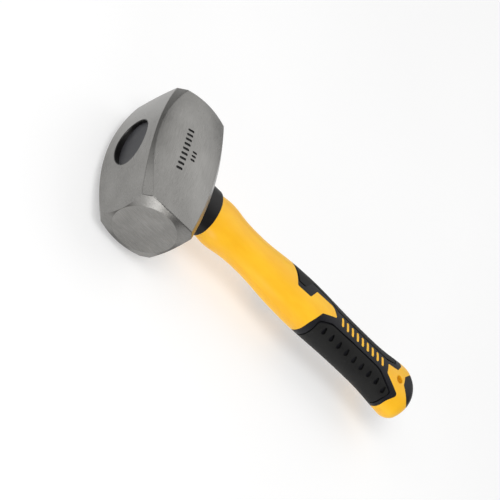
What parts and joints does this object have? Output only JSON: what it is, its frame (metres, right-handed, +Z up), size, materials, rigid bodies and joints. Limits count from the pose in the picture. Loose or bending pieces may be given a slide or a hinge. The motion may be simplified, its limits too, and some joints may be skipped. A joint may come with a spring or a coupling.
{
  "type": "club hammer",
  "caption": "Double-faced forged hammer head with bowed sides and bevelled edges on a fibreglass handle with a moulded two-part grip.",
  "frame": {"origin": "under the middle of the whole hammer, on the floor plane it lies on", "axes": "+X along the handle towards the top of the head, +Y out of one striking face, +Z up out of the upper cheek"},
  "size_m": [0.2848, 0.1014, 0.0576],
  "materials": {
    "head_steel": "satin ground forged steel with a clear lacquer",
    "fibreglass": "pultruded glass fibre rod, bare",
    "eye_resin": "cast epoxy, dark grey, slightly dull",
    "collar_rubber": "black moulded elastomer, semi-matt",
    "jacket_plastic": "yellow moulded polypropylene, satin gloss",
    "grip_rubber": "black soft grip elastomer, fine texture",
    "pad_rubber": "dark grey soft grip elastomer, matt"
  },
  "bodies": {
    "root": {"head": "head_steel", "handle_core": "fibreglass", "eye_resin": "eye_resin", "neck_collar": "collar_rubber", "handle_jacket": "jacket_plastic", "grip_sleeve": "grip_rubber", "grip_pad_front": "pad_rubber", "grip_pad_back": "pad_rubber", "butt_pad": "grip_rubber"}
  },
  "joints": []
}
